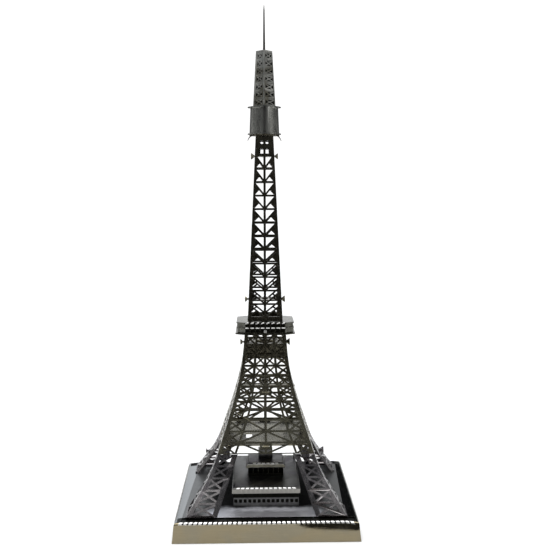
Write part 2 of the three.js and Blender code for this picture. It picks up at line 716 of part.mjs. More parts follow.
const lowerWalls = BODY_TOP + SHEET + 2 * GAP;
const ledge = lowerWalls + DECK_LOWER_WALL + GAP;
const upperWalls = ledge + SHEET + GAP;
const deckTop = upperWalls + DECK_UPPER_WALL + GAP;
add("deck_floor", deckPlate(DECK_OVERHANG.floor, bodyHalf(BODY_TOP)), TOWER_STEEL, BODY_TOP + GAP);
add("deck_lower_walls", deckWalls(DECK_LOWER_WALL), TOWER_STEEL, lowerWalls);
add("deck_ledge", extrude(deckShape(DECK_OVERHANG.ledge), SHEET), TOWER_STEEL, ledge);
add("deck_upper_walls", deckWalls(DECK_UPPER_WALL), TOWER_STEEL, upperWalls);
add("deck_roof", deckPlate(DECK_OVERHANG.roof, SHAFT_FOOT_HALF), TOWER_STEEL, deckTop);

SIDES.forEach((side, i) => add("shaft_panel_" + side, turned(shaftPanel(i), i), TOWER_STEEL));

const shell = lookoutShell();
add("lookout_floor", lookoutFloor(), SATIN_STEEL, SHAFT_TOP + GAP);
CORNERS.forEach((corner, i) => add("lookout_shell_" + corner, turned(shell, i - 0.5), SATIN_STEEL));
add("lookout_roof", extrude(diamond(LOOKOUT_TOP_CORNER - 0.5), SHEET), SATIN_STEEL, LOOKOUT_TOP - SHEET);

CORNERS.forEach((corner, i) =>
  add("antenna_panel_" + corner, turned(antennaPanel(i), i + 0.5), TOWER_STEEL),
);
add("antenna_cap", antennaCap(), TOWER_STEEL, ANTENNA_TOP + GAP);
add("mast", mast(), TOWER_STEEL);

const group = new THREE.Group();
group.add(tower);

export default group;
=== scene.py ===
"""A souvenir lattice tower, folded and tabbed together from thin steel sheet."""

import math

import bmesh
import bpy
from bpy.props import (
    FloatProperty,
    FloatVectorProperty,
    IntProperty,
    PointerProperty,
)
from mathutils import Matrix, Vector


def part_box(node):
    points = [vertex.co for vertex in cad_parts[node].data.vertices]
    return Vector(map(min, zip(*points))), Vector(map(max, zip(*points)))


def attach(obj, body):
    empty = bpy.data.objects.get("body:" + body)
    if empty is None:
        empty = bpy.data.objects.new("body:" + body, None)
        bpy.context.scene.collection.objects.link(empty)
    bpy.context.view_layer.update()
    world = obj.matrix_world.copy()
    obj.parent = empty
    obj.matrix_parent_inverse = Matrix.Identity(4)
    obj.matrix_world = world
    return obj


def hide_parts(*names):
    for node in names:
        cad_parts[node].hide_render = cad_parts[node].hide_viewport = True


bl_info = {
    "name": "Souvenir lattice tower",
    "version": (1, 0, 0),
    "blender": (4, 5, 0),
    "location": "View3D > Sidebar > Tower",
    "description": "Builds the tower's detailed sheet steel pieces round its fixed frame",
    "category": "Object",
}

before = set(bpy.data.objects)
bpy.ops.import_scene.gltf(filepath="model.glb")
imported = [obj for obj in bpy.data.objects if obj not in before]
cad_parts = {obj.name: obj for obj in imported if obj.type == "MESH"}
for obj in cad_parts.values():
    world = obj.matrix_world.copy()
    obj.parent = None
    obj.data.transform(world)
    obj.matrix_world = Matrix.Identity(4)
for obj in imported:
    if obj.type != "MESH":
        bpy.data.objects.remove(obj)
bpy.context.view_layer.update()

MM = 0.001
SIDES = ("front", "right", "back", "left")
CORNERS = ("front_right", "back_right", "back_left", "front_left")
UP = Vector((0, 0, 1))

# Lengths, in metres, under which two places count as one
EPSILON = 1e-7
TOUCHING = 5 * EPSILON
NEARBY = 20 * EPSILON
IN_PLANE = 20 * EPSILON
IN_ROW = 50 * EPSILON

PARALLEL = 0.9999  # cosine between two directions that count as one
FRONTAL = 0.9  # least share of a normal along y for a front or back wall
UPRIGHT = 0.3  # most share of a normal along z for an upright wall
CUT_EDGE = math.radians(35)  # angle from which an edge is one that was cut
LEVEL = math.radians(0.5)  # angle up to which two faces are one


# Shader maths ------------------------------------------------------------------------------


class Value:
    """A socket whose value varies over a surface. Arithmetic on it adds Math nodes."""

    def __init__(self, recipe, socket):
        self.recipe = recipe
        self.socket = socket

    def _with(self, operation, *terms):
        return self.recipe.node(
            "ShaderNodeMath", {"operation": operation}, dict(enumerate(terms))
        )

    def __add__(self, other):
        return self._with("ADD", self, other)

    def __radd__(self, other):
        return self._with("ADD", other, self)

    def __sub__(self, other):
        return self._with("SUBTRACT", self, other)

    def __rsub__(self, other):
        return self._with("SUBTRACT", other, self)

    def __mul__(self, other):
        return self._with("MULTIPLY", self, other)

    def __rmul__(self, other):
        return self._with("MULTIPLY", other, self)

    def __abs__(self):
        return self._with("ABSOLUTE", self)

    def or_less(self, other):
        """The smaller of the two values."""
        return self._with("MINIMUM", self, other)


class Recipe:
    """The node tree of one finish."""

    def __init__(self, tree):
        self.tree = tree
        tree.nodes.clear()

    def node(self, kind, settings=None, sockets=None, output=0):
        """Adds a node, with its settings first and then the values or links of its sockets."""
        made = self.tree.nodes.new(kind)
        for name, value in (settings or {}).items():
            setattr(made, name, value)
        for key, value in (sockets or {}).items():
            if isinstance(value, Value):
                self.tree.links.new(value.socket, made.inputs[key])
            else:
                made.inputs[key].default_value = value
        return Value(self, made.outputs[output]) if made.outputs else made

    def spread(self, value, low, high, to_low=0.0, to_high=1.0):
        """value taken from low..high to to_low..to_high, with soft ends."""
        return self.node(
            "ShaderNodeMapRange",
            {"interpolation_type": "SMOOTHSTEP"},
            {0: value, 1: low, 2: high, 3: to_low, 4: to_high},
        )

    def blend(self, share, first, second):
        """A share of the second colour over the first."""
        return self.node(
            "ShaderNodeMix",
            {"data_type": "RGBA"},
            {0: share, 6: first, 7: second},
            output=2,
        )

    def place(self, scale):
        """Object coordinates in millimetres, times a scale along each axis."""
        where = self.node("ShaderNodeTexCoord", output="Object")
        return self.node(
            "ShaderNodeMapping",
            {},
            {"Vector": where, "Scale": tuple(s / MM for s in scale)},
        )

    def axes(self, coordinates):
        """The parts of those coordinates along x, y and z."""
        where = self.node("ShaderNodeTexCoord", output=coordinates)
        split = self.node("ShaderNodeSeparateXYZ", {}, {0: where})
        return [Value(self, socket) for socket in split.socket.node.outputs]

    def noise(self, scale, detail=2.0, roughness=0.5, distortion=0.0):
        """Noise with that many features per millimetre along each axis."""
        return self.node(
            "ShaderNodeTexNoise",
            {},
            {
                "Vector": self.place(scale),
                "Scale": 1.0,
                "Detail": detail,
                "Roughness": roughness,
                "Distortion": distortion,
            },
        )

    def bump(self, height, strength, distance):
        """A normal that follows the height."""
        return self.node(
            "ShaderNodeBump",
            {},
            {"Strength": strength, "Distance": distance, "Height": height},
        )

    def cover(self, sockets):
        """Makes a principled shader with those sockets the material's surface."""
        shader = self.node("ShaderNodeBsdfPrincipled", {}, sockets)
        self.node("ShaderNodeOutputMaterial", {}, {"Surface": shader})


# How bright each mark leaves a sheet, as a share of the sheet's own colour
SOOTED = 0.35
RUBBED = 2.1
DRAWN = 1.35
# SHADED is the share of colour left under a painted shade
SHADED = 0.03
DEEP, RAISED, STAINED = 0.6, 1.5, 0.4

# Pale colour of the painted light strip in front of the foot building
LIGHT_STRIP_COLOUR = (0.72, 0.72, 0.76, 1)
DULLED = 0.4  # roughness that a sheet gains under its painted shade


def colour_of(value, lift=1.0):
    """The colour with its alpha, brightened by a factor."""
    return tuple(min(c * lift, 1.0) for c in value) + (1.0,)


def new_material(name):
    """An empty material, and the recipe that fills it."""
    material = bpy.data.materials.new(name)
    material.use_nodes = True
    return material, Recipe(material.node_tree)


def steel(
    name,
    colour,
    tint,
    roughness,
    grain,
    waves=0.5,
    wear=0.5,
    soot=0.3,
    grain_depth=0.5,
    shade=None,
    light_strip=None,
):
    """Rolled steel sheet: drawn grain, soft heat tints, soot in patches and rubbed edges.

    grain is the count of drawn lines per millimetre along each axis. The last two masks, where
    they are given, mark a painted shade and a strip of painted light.
    """
    material, recipe = new_material(name)

    lines = recipe.noise(grain, detail=3.0, roughness=0.6)
    clouds = recipe.noise((0.16, 0.16, 0.16), detail=2.0, distortion=0.6)
    smears = recipe.noise((0.9, 0.9, 0.5), detail=4.0, roughness=0.62)
    specks = recipe.noise((7.0, 7.0, 7.0), detail=2.0)
    dents = recipe.noise((0.42, 0.42, 0.3), detail=1.5)
    sharpness = recipe.node("ShaderNodeNewGeometry", output="Pointiness")
    edges = recipe.spread(sharpness, 0.5, 0.58)

    heat = recipe.spread(clouds, 0.4, 0.62)
    sooty = recipe.spread(smears, 0.5, 0.72) * soot
    rubbed = edges * recipe.spread(smears, 0.3, 0.6, 0.4, 1.0) * wear

    drawn = recipe.spread(lines, 0.35, 0.75, 0.0, 0.35)

    base = recipe.blend(heat, colour_of(colour), colour_of(tint))
    base = recipe.blend(sooty, base, colour_of(colour, SOOTED))
    base = recipe.blend(rubbed, base, colour_of(colour, RUBBED))
    base = recipe.blend(drawn, base, colour_of(colour, DRAWN))
    gloss = (
        roughness
        + (lines - 0.5) * 0.22
        + (smears - 0.5) * 0.24
        + recipe.spread(specks, 0.6, 0.75) * 0.08
        - rubbed * 0.06
    )
    # Painted shade: the sheet darkens and dulls inside the shade mask
    if shade:
        shaded = shade(recipe)
        base = recipe.blend(shaded, base, colour_of(colour, SHADED))
        gloss = gloss + shaded * DULLED
    # Painted light: a pale strip laid over the sheet
    if light_strip:
        base = recipe.blend(light_strip(recipe), base, LIGHT_STRIP_COLOUR)

    height = lines * (0.3 * grain_depth) + dents * waves + specks * 0.03
    recipe.cover(
        {
            "Base Color": base,
            "Metallic": 1.0,
            "Roughness": gloss,
            "Normal": recipe.bump(height, 0.6, 0.12 * MM),
        }
    )
    return material


def plan_of(recipe):
    """Distances to either side of the tower's middle, and behind it."""
    side, back, _ = recipe.axes("Object")
    return abs(side), back


def ragged(recipe):
    """An uneven length that keeps the border of a mark from being straight."""
    return (recipe.noise((0.5, 0.5, 0.5)) - 0.5) * (3 * MM)


def seam_shade(recipe):
    """Painted shade along the upright corners where the lookout's shells meet."""
    aside, back = plan_of(recipe)
    nearest = aside.or_less(abs(back))
    return recipe.spread(nearest, 0.05 * MM, 1.1 * MM, 0.8, 0.0)


def hall_reflection_shade(recipe):
    """Painted shade on the base round the foot building: the dark reflection of the hall's
    walls.
    """
    aside, back = plan_of(recipe)
    rough = ragged(recipe)
    near = recipe.spread(aside + rough, 11 * MM, 16.5 * MM, 1.0, 0.0)
    return near * recipe.spread(back + rough, -15 * MM, -11.5 * MM)


def front_light_strip(recipe):
    """A strip of painted light in front of the foot building: a pale painted reflection on the
    plate.
    """
    aside, back = plan_of(recipe)
    rough = ragged(recipe)
    near = recipe.spread(aside + rough, 11.5 * MM, 14 * MM, 1.0, 0.0)
    return near * recipe.spread(back + rough, -14 * MM, -10.5 * MM, 1.0, 0.0)


def etched(name, colour):
    """The matt grey floor that acid leaves in a half-etched recess."""
    material, recipe = new_material(name)
    pits = recipe.noise((11.0, 11.0, 11.0), detail=4.0, roughness=0.7)
    stains = recipe.noise((0.8, 0.8, 0.8), detail=3.0)
    raised = recipe.spread(pits, 0.35, 0.7)
    stained = recipe.spread(stains, 0.45, 0.7, 0.0, 0.6)
    base = recipe.blend(raised, colour_of(colour, DEEP), colour_of(colour, RAISED))
    base = recipe.blend(stained, base, colour_of(colour, STAINED))
    recipe.cover(
        {
            "Base Color": base,
            "Metallic": 1.0,
            "Roughness": 0.5 + (pits - 0.5) * 0.3,
            "Normal": recipe.bump(pits, 0.7, 0.02 * MM),
        }
    )
    return material


def finish(name):
    """The material of that name, made when it is first asked for."""
    found = bpy.data.materials.get(name)
    if found:
        return found
    colours = bpy.context.scene.tower_colours
    recipes = {
        "tower sheet": lambda: steel(
            name, colours.tower, colours.heat, 0.26, (9.0, 9.0, 0.7), waves=1.7, wear=0.7
        ),
        "leg sheet": lambda: steel(
            name, colours.leg, colours.violet, 0.3, (7.0, 7.0, 0.9), waves=0.8, wear=0.8,
            grain_depth=0.25,
        ),
        "shaft sheet": lambda: steel(
            name, colours.shaft, colours.heat, 0.26, (9.0, 9.0, 0.6), waves=0.8, wear=0.6
        ),
        "deck sheet": lambda: steel(
            name, colours.deck, colours.heat, 0.26, (0.8, 0.8, 9.0), waves=0.6, wear=0.9
        ),
        "hall sheet": lambda: steel(
            name, colours.hall, colours.violet, 0.42, (0.8, 9.0, 9.0), waves=0.4, wear=0.9
        ),
        # Near-white steel for the beads and folds: a painted highlight of the light they catch
        "folded edge": lambda: steel(
            name, colours.bead, colours.bead, 0.36, (6.0, 6.0, 6.0), waves=0.3, wear=0.4,
            soot=0.1, grain_depth=0.2,
        ),
        "trim sheet": lambda: steel(
            name, colours.trim, colours.heat, 0.32, (0.8, 0.8, 8.0), waves=0.35, wear=0.9,
            grain_depth=0.3,
        ),
        "satin sheet": lambda: steel(
            name, colours.satin, colours.satin, 0.3, (8.0, 8.0, 0.15), waves=0.12,
            wear=0.0, soot=0.08, grain_depth=0.15,
        ),
        # The shells darken towards their corners: painted shade.
        "shell sheet": lambda: steel(
            name, colours.satin, colours.satin, 0.28, (8.0, 8.0, 0.15), waves=0.12,
            wear=0.0, soot=0.08, grain_depth=0.15, shade=seam_shade,
        ),
        "antenna sheet": lambda: steel(
            name, colours.satin, colours.tower, 0.34, (7.0, 7.0, 1.0), waves=1.4,
            wear=1.0,
        ),
        "base sheet": lambda: steel(
            name, colours.base, colours.base_tint, 0.09, (0.35, 8.0, 8.0), waves=0.06,
            wear=0.0, soot=0.06, grain_depth=0.12,
        ),
        # Painted shade round the foot building, and a strip of painted light in front of it.
        "base panel": lambda: steel(
            name, colours.panel, colours.panel, 0.42, (0.5, 7.0, 7.0), waves=0.05,
            wear=0.2, soot=0.1, grain_depth=0.2, shade=hall_reflection_shade, light_strip=front_light_strip,
        ),
        "border sheet": lambda: steel(
            name, colours.border, colours.border, 0.07, (7.0, 0.4, 7.0), waves=0.05,
            wear=0.2, soot=0.1, grain_depth=0.1,
        ),
        # A lighter copy of the hall steel for the roofs' front and back skirts: painted light
        "lit fascia sheet": lambda: steel(
            name, colours.fascia, colours.fascia, 0.4, (0.5, 7.0, 7.0), waves=0.1,
            wear=0.3, soot=0.2, grain_depth=0.3,
        ),
        "mast sheet": lambda: steel(
            name, colours.shaft, colours.heat, 0.3, (9.0, 9.0, 0.5), waves=0.3, wear=0.6
        ),
        "etched recess": lambda: etched(name, colours.recess),
    }
    return recipes[name]()


# Sizes and colours that a user would change -------------------------------------------------


def length(name, description, default):
    return FloatProperty(
        name=name,
        description=description,
        default=default * MM,
        min=0.0,
        precision=5,
        unit="LENGTH",
        subtype="DISTANCE",
    )


def colour(name, description, default):
    return FloatVectorProperty(
        name=name,
        description=description,
        default=default,
        size=3,
        min=0.0,
        max=1.0,
        subtype="COLOR",
    )


class TowerSizes(bpy.types.PropertyGroup):
    """Sizes of the detail that the frame leaves out"""

    sheet: length("Sheet", "Thickness of the steel sheet", 0.3)
    edge: length("Edge rounding", "Radius left on the sheet's cut edges", 0.05)
    flare: length("Skirt flare", "How far the skirt's foot stands out", 0.4)
    hem: length("Hem", "Width of the skirt's turned-in foot", 1.2)
    fold: length("Base fold", "Radius of the fold at the plate's edge", 0.45)
    small_fold: length("Roof fold", "Radius of the folds on the roofs", 0.3)
    bead: length("Bead pitch", "Distance between the beads along a fold", 1.08)
    bead_gap: length("Bead gap", "Slot between two beads", 0.36)
    border: length("Border", "Width of the sloping strips at the base's sides", 2.3)
    border_slope: FloatProperty(
        name="Border slope",
        description="How much the strips at the base's sides fall for their width",
        default=0.1,
        min=0.0,
        max=0.5,
    )
    groove: length("Groove", "Width of the groove inside the base's front fold", 2.2)
    fascia: length("Fascia", "Depth of the hall roof's folded edge", 1.3)
    sill: length("Sill", "Height of the hall's wall under its openings", 0.72)
    lintel: length("Lintel", "Height of the top of the hall's openings", 1.92)
    recess: length("Recess", "Depth of the half-etched recesses", 0.12)
    bays: IntProperty(
        name="Antenna bays",
        description="Crossed bays up each side of the antenna frame",
        default=7,
        min=1,
    )


class TowerColours(bpy.types.PropertyGroup):
    """Colours of the steel"""

    tower: colour("Body", "Steel of the body's panels", (0.14, 0.13, 0.093))
    leg: colour("Legs", "Steel of the legs", (0.1, 0.094, 0.093))
    shaft: colour("Shaft", "Steel of the shaft's panels", (0.1, 0.092, 0.07))
    # The deck's dark steel on its front and back walls and the lighter trim steel on its side
    # walls are shaded and lit copies: painted shade on the front and back
    deck: colour("Deck", "Steel of the main deck", (0.035, 0.034, 0.026))
    hall: colour("Halls", "Steel of the foot buildings", (0.08, 0.08, 0.076))
    # The beads' near-white colour is a painted highlight
    bead: colour("Folded edges", "Steel of the beads along the folds", (0.75, 0.74, 0.71))
    trim: colour("Deck sides", "Steel of the deck's ledge and roof", (0.095, 0.095, 0.084))
    satin: colour("Lookout", "Satin steel of the lookout and antenna", (0.34, 0.34, 0.315))
    # The fascia colour is painted light on the roofs' front and back skirts
    fascia: colour("Fascia", "Bright steel of the roofs' folded fronts", (0.3, 0.29, 0.265))
    border: colour("Border", "Polished strips at the base's sides", (0.17, 0.172, 0.166))
    panel: colour("Panel", "Brushed steel inside the base's border", (0.13, 0.132, 0.13))
    base: colour("Base", "Polished steel of the base", (0.225, 0.192, 0.125))
    base_tint: colour("Base tint", "Soft tint on the base", (0.21, 0.188, 0.135))
    heat: colour("Straw tint", "Straw heat tint on the steel", (0.07, 0.062, 0.044))
    violet: colour("Violet tint", "Violet heat tint on the steel", (0.07, 0.06, 0.072))
    recess: colour("Recess", "Etched floor of the recesses", (0.009, 0.009, 0.007))
    floor: colour("Floor", "Pale paper under the tower", (0.92, 0.92, 0.915))


# Pieces ------------------------------------------------------------------------------------

# Where a shared steel stands in the list of a piece's materials
ETCHED = 1  # the near-black recesses in a wall, also used for painted shadow and shade
BEADED = 2  # a row of beads
FOLDED = 1  # the folds of a tray

FOLD_STEPS = 6  # flat strips round a tray's fold
BELOW_FOLD = 1.25  # depth of the strip under a fold, as a share of the fold's radius


def worn_edges(piece, width):
    """Rounds every cut edge a little, as tumbling leaves them."""
    bevel = piece.modifiers.new("Worn edges", "BEVEL")
    bevel.width = width
    bevel.segments = 2
    bevel.limit_method = "ANGLE"
    bevel.angle_limit = CUT_EDGE
    bevel.harden_normals = True
    bevel.use_clamp_overlap = True


def keep(node, material):
    """Finishes a node of the frame: merged corners, rounded edges and its steel."""
    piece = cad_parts[node]
    weld = piece.modifiers.new("Merged corners", "WELD")
    weld.merge_threshold = TOUCHING
    worn_edges(piece, bpy.context.scene.tower_sizes.edge)
    for slot in piece.material_slots:
        slot.material = finish(material)


def add_piece(name, mesh, materials, node, thickness=0.0, edge=None, smooth=35):
    """Makes an object of a bmesh that stands for a node of the frame."""
    data = bpy.data.meshes.new(name)
    mesh.to_mesh(data)
    mesh.free()
    piece = bpy.data.objects.new(name, data)
    bpy.context.scene.collection.objects.link(piece)
    for material in materials:
        data.materials.append(finish(material))
    data.shade_smooth()
    data.set_sharp_from_angle(angle=math.radians(smooth))
    if thickness:
        wall = piece.modifiers.new("Sheet", "SOLIDIFY")
        wall.thickness = thickness
        wall.offset = -1
    sizes = bpy.context.scene.tower_sizes
    worn_edges(piece, sizes.edge if edge is None else edge)
    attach(piece, "root")
    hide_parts(node)


def copy_of(node):
    """The node's shape as one closed mesh of flat faces."""
    mesh = bmesh.new()
    mesh.from_mesh(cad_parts[node].data)
    bmesh.ops.remove_doubles(mesh, verts=mesh.verts, dist=TOUCHING)
    bmesh.ops.dissolve_limit(
        mesh,
        angle_limit=LEVEL,
        use_dissolve_boundaries=False,
        verts=mesh.verts,
        edges=mesh.edges,
    )
    for face in mesh.faces:
        face.material_index = 0
    mesh.normal_update()
    return mesh


def outer_walls(mesh, least_area):
    """The upright faces that look away from the axis, as (normal, point on the face)."""
    found = []
    for face in mesh.faces:
        middle = face.calc_center_median()
        outward = Vector((middle.x, middle.y, 0))
        upright = abs(face.normal.z) < UPRIGHT
        if upright and face.normal.dot(outward) > 0 and face.calc_area() > least_area:
            found.append((face.normal.copy(), middle))
    return found


def faces_in_plane(mesh, normal, point):
    """The faces that lie in one plane with the point and look along the normal."""
    return [
        face
        for face in mesh.faces
        if face.normal.dot(normal) > PARALLEL
        and abs((face.calc_center_median() - point).dot(normal)) < IN_PLANE
    ]


def between(faces, low, high):
    """The faces whose middles are between two heights."""
    return [face for face in faces if low < face.calc_center_median().z < high]


def span_of(mesh, normal, point):
    """The two ends of a flat wall, at the height of the point."""
    tangent = UP.cross(normal).normalized()
    reach = [
        (vert.co - point).dot(tangent)
        for face in faces_in_plane(mesh, normal, point)
        for vert in face.verts
    ]
    return point + tangent * min(reach), point + tangent * max(reach)


def cut(mesh, faces, point, across):
    """Divides those faces where the plane at the point, square to a direction, meets them."""
    edges = {edge for face in faces for edge in face.edges}
    verts = {vert for face in faces for vert in face.verts}
    bmesh.ops.bisect_plane(
        mesh,
        geom=[*faces, *edges, *verts],
        dist=EPSILON,
        plane_co=point,
        plane_no=across,
    )


def grid_wall(mesh, normal, point, across, levels):
    """Divides a flat wall into bays, at those shares of its width and those heights."""
    tangent = UP.cross(normal).normalized()
    start, end = span_of(mesh, normal, point)
    for share in across:
        cut(mesh, faces_in_plane(mesh, normal, point), start.lerp(end, share), tangent)
    for level in levels:
        cut(mesh, faces_in_plane(mesh, normal, point), Vector((0, 0, level)), UP)
    return faces_in_plane(mesh, normal, point)


def sink(mesh, faces, normal, rim, depth, crossed=0.0, rounding=0.0):
    """Etches a recess into each face, inside a rim, with a crossing brace if one is wanted."""
    bmesh.ops.inset_individual(mesh, faces=faces, thickness=rim, use_even_offset=True)
    if crossed:
        faces = bmesh.ops.poke(mesh, faces=faces)["faces"]
        bmesh.ops.inset_individual(
            mesh, faces=faces, thickness=crossed / 2, use_even_offset=True
        )
    floors = bmesh.ops.extrude_discrete_faces(mesh, faces=faces)["faces"]
    verts = list({vert for face in floors for vert in face.verts})
    bmesh.ops.translate(mesh, verts=verts, vec=-normal * depth)
    for face in floors:
        face.material_index = ETCHED
    if rounding:
        upright = [
            edge
            for face in floors
            for vert in face.verts
            for edge in vert.link_edges
            if edge not in face.edges
        ]
        bmesh.ops.bevel(
            mesh,
            geom=list(set(upright)),
            offset=rounding,
            affect="EDGES",
            segments=3,
            profile=0.5,
            material=-1,
        )


def bead_shape(size):
    """One small rounded bead, as a mesh to copy from."""
    mesh = bmesh.new()
    bmesh.ops.create_cube(mesh, size=1.0)
    bmesh.ops.scale(mesh, vec=size, verts=mesh.verts)
    bmesh.ops.bevel(
        mesh,
        geom=mesh.edges,
        offset=min(size) * 0.4,
        affect="EDGES",
        segments=2,
        profile=0.5,
        material=-1,
    )
    for face in mesh.faces:
        face.material_index = BEADED
    data = bpy.data.meshes.new("bead")
    mesh.to_mesh(data)
    mesh.free()
    return data


def bead_row(mesh, normal, start, end, pitch, size, lean=0.0):
    """A row of small rounded beads from start to end, along the edge of a sheet."""
    bead = bead_shape(size)
    row = bmesh.new()
    count = max(int((end - start).length / pitch), 1)
    tangent = (end - start).normalized()
    turn = Matrix((tangent, normal, tangent.cross(normal))).transposed().to_4x4()
    leaning = turn @ Matrix.Rotation(lean, 4, "Y")
    for i in range(count):
        middle = start.lerp(end, (i + 0.5) / count)
        known = len(row.verts)
        row.from_mesh(bead)
        row.verts.ensure_lookup_table()
        bmesh.ops.transform(
            row, matrix=Matrix.Translation(middle) @ leaning, verts=row.verts[known:]
        )
    row.to_mesh(bead)
    row.free()
    mesh.from_mesh(bead)
    bpy.data.meshes.remove(bead)


def stations_for(half, pitch, gap, margin):
    """Where the beads along an edge start, crest and end, as distances from its middle."""
    count = int((2 * half - 2 * margin) / pitch)
    start = -count * pitch / 2
    marks = [-half]
    for i in range(count):
        left = start + i * pitch
        marks += [left + gap / 2, left + pitch / 2, left + pitch - gap / 2]
    return marks + [half]


def strip(mesh, marks, rows, along, out, quarter):
    """One side of a folded tray, as a grid bent to rows of (distance out, height)."""
    columns, lines = len(marks) - 1, len(rows) - 1
    known = len(mesh.verts)
    bmesh.ops.create_grid(mesh, x_segments=columns, y_segments=lines, size=1.0)
    mesh.verts.ensure_lookup_table()
    verts = mesh.verts[known:]
    cells = {}
    for face in {face for vert in verts for face in vert.link_faces}:
        middle = face.calc_center_median()
        column = int((middle.x + 1) / 2 * columns)
        line = int((middle.y + 1) / 2 * lines)
        cells[column, line] = face
    for vert in verts:
        column = round((vert.co.x + 1) / 2 * columns)
        offset, height = rows[round((vert.co.y + 1) / 2 * lines)]
        across = marks[column] * (along + offset) / along
        vert.co = (across, -(out + offset), height)
    turn = Matrix.Rotation(quarter * math.pi / 2, 3, "Z")
    bmesh.ops.rotate(mesh, verts=verts, matrix=turn)
    return cells


def tray_rows(top, drop, fold, flare, hem, inner):
    """The section of a tray's side from its rim to its hem, as (distance out, height)."""
    arc = [math.pi / 2 * i / FOLD_STEPS for i in range(FOLD_STEPS + 1)]
    rows = [(-fold - inner, top)]
    rows += [(fold * (math.sin(a) - 1), top - fold * (1 - math.cos(a))) for a in arc]
    rows.append((flare * 0.02, top - fold * BELOW_FOLD))
    rows.append((flare, top - drop))
    if hem:
        rows.append((flare - hem, top - drop))
    return rows


def bead_fold(mesh, cells, columns, outward, bulge):
    """Raises a bead in the middle of every third column of a fold, and opens the slots."""
    crests = {
        vert
        for (column, line), face in cells.items()
        if column % 3 == 1 and 2 <= line <= FOLD_STEPS - 1
        for vert in face.verts
        if all(vert in other.verts for other in (face, cells[column + 1, line]))
    }
    slots = [
        face
        for (column, line), face in cells.items()
        if column % 3 == 0 and 0 < column < columns - 1 and 1 <= line <= FOLD_STEPS
    ]
    bmesh.ops.translate(mesh, verts=list(crests), vec=outward.normalized() * bulge)
    bmesh.ops.delete(mesh, geom=slots, context="FACES_ONLY")


def folded_tray(
    half_x,
    half_y,
    top,
    drop,
    fold,
    flare,
    hem,
    pitch,
    gap,
    bulge,
    inner,
    fascia=0,
    rim_shade=0,
    side_fold=0,
):
    """The outer skin of a plate whose edges fold down over rows of beads with slots between.

    fascia, side_fold and the steel index for the rims say where the steels of the front's and
    back's skirts, of the folds at the sides and of the rims stand in the list of materials.
    The rims' steel is painted shade; the front's and back's folds take the near-white bead
    steel, a painted highlight.
    """
    mesh = bmesh.new()
    rows = tray_rows(top, drop, fold, flare, hem, inner)
    for quarter in range(4):
        frontal = quarter % 2 == 0
        along, out = (half_x, half_y) if frontal else (half_y, half_x)
        marks = stations_for(along, pitch, gap, pitch * 0.6)
        columns = len(marks) - 1
        cells = strip(mesh, marks, rows, along, out, quarter)
        # At the front and back the rims take painted shade and the folds the near-white bead
        # steel, a painted highlight; the side folds keep a darker steel
        for (column, line), face in cells.items():
            if not frontal:
                face.material_index = side_fold if line <= FOLD_STEPS else 0
            elif line > FOLD_STEPS:
                face.material_index = fascia
            elif line == 0:
                face.material_index = rim_shade
            elif 0 < column < columns - 1:
                face.material_index = FOLDED
        outward = Matrix.Rotation(quarter * math.pi / 2, 3, "Z") @ Vector((0, -1, 1))
        bead_fold(mesh, cells, columns, outward, bulge)
    bmesh.ops.remove_doubles(mesh, verts=mesh.verts, dist=NEARBY)

    reach_x, reach_y = (half - fold - inner + NEARBY for half in (half_x, half_y))
    rim = [
        edge
        for edge in mesh.edges
        if edge.is_boundary
        and all(
            abs(vert.co.z - top) < EPSILON
            and abs(vert.co.x) < reach_x
            and abs(vert.co.y) < reach_y
            for vert in edge.verts
        )
    ]
    bmesh.ops.holes_fill(mesh, edges=rim, sides=0)
    bmesh.ops.recalc_face_normals(mesh, faces=mesh.faces)
    plate = max(mesh.faces, key=lambda face: face.calc_area())
    if plate.normal.z < 0:
        bmesh.ops.reverse_faces(mesh, faces=mesh.faces)
    return mesh


# The base plate
BASE_STEELS = ["base sheet", "folded edge", "etched recess", "base panel", "border sheet"]
GROOVE_STEEL, PANEL_STEEL, BORDER_STEEL = 2, 3, 4
LIP = 0.22 * MM  # flat strip between the front fold and its groove
GROOVE_DEPTH = 0.2 * MM
SLANTS = {-1: -0.04, 1: 0.035}  # how far each border leans in for its length
CREASE_START = 4 * MM
CREASE_RUN = 15 * MM
CREASE_DROP = Vector((0, -0.24, -0.42)) * MM
SKIRT_TOP = 1 * MM  # height above which the borders slope


